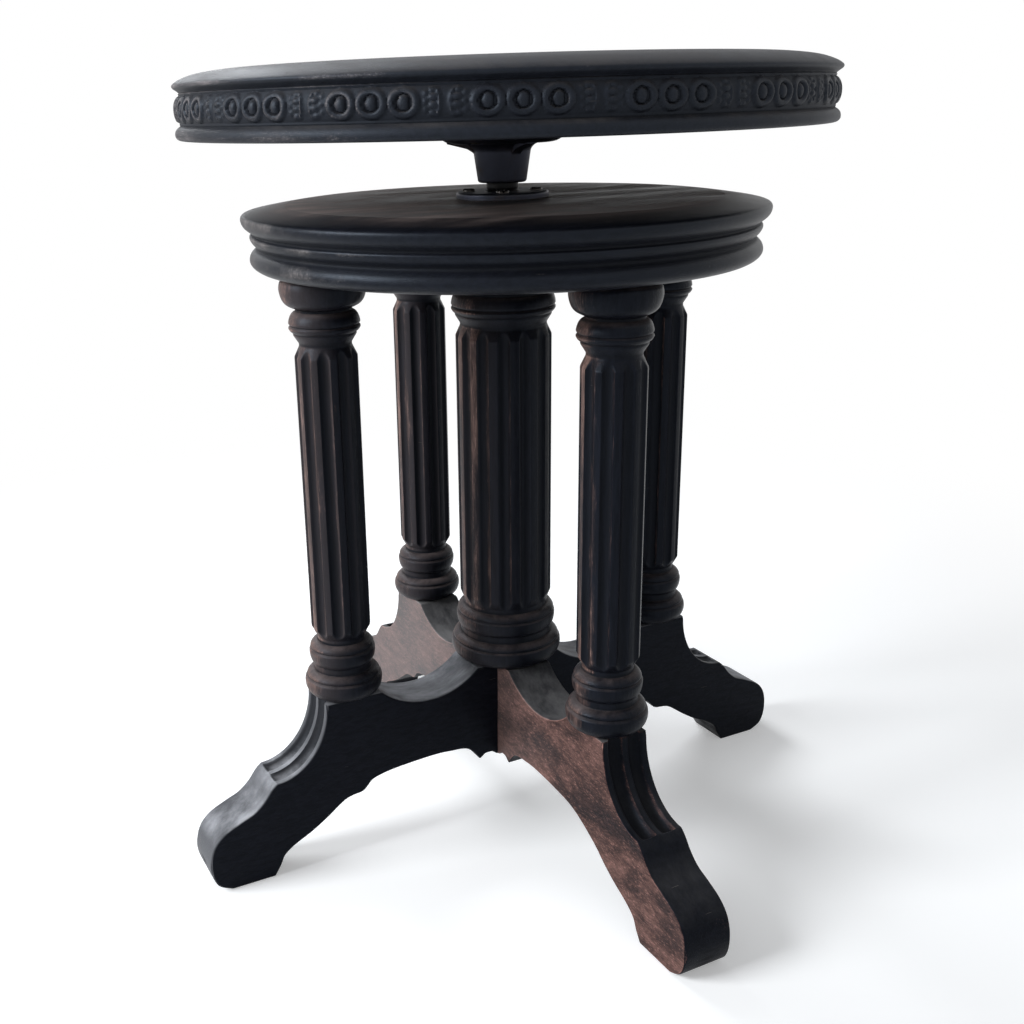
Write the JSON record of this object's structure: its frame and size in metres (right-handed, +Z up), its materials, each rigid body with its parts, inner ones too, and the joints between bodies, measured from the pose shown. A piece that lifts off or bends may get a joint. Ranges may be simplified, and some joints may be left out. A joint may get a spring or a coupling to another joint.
{
  "type": "revolving piano stool",
  "caption": "Round-seated revolving piano stool: screw-lifted moulded seat over a round platform on fluted columns and crossed scroll-footed legs.",
  "frame": {"origin": "on the floor, on the stool's upright axis", "axes": "+Z up along the spindle; the four legs point along +X, -X, +Y and -Y"},
  "size_m": [0.4182, 0.4182, 0.46],
  "materials": {
    "leg_wood": "dark ebonised stain, worn to reddish brown on the sides",
    "column_wood": "dark ebonised stain, worn to reddish brown on the ridges",
    "platform_wood": "dark ebonised stain, dusty and rubbed on top",
    "seat_wood": "dark ebonised stain with a low sheen",
    "cast_iron": "blackened, slightly rough",
    "spindle_steel": "dark oiled iron, worn at the thread",
    "screw_steel": "dulled iron"
  },
  "bodies": {
    "base": {"leg_board_upper": "leg_wood", "leg_board_lower": "leg_wood", "centre_bolt": "cast_iron", "centre_bolt_washer": "cast_iron", "centre_column": "column_wood", "outer_column_back_right": "column_wood", "outer_column_back_left": "column_wood", "outer_column_front_left": "column_wood", "outer_column_front_right": "column_wood", "platform": "platform_wood", "nut_plate": "cast_iron", "nut_screw_1": "screw_steel", "nut_screw_2": "screw_steel", "nut_screw_3": "screw_steel", "nut_screw_4": "screw_steel"},
    "lift": {"stop_washer": "cast_iron"},
    "seat": {"seat_casting": "cast_iron", "spindle": "spindle_steel", "hub_pin": "screw_steel", "seat_rim_board": "seat_wood", "seat_top_board": "seat_wood", "flange_screw_1": "screw_steel", "flange_screw_2": "screw_steel", "flange_screw_3": "screw_steel", "spindle_end_screw": "screw_steel"}
  },
  "joints": [
    {"name": "seat_lift", "type": "slide", "parent": "base", "child": "lift", "axis": [0, 0, 1], "range_m": [-0.0041, 0.1101]},
    {"name": "seat_spin", "type": "hinge", "parent": "lift", "child": "seat", "pos_m": [0, 0, 0.4], "axis": [0, 0, 1], "range_deg": [-288, 7920]}
  ],
  "couplings": [
    {"joint": "seat_lift", "follows": "seat_spin", "m_per_rad": 0.00079577}
  ]
}
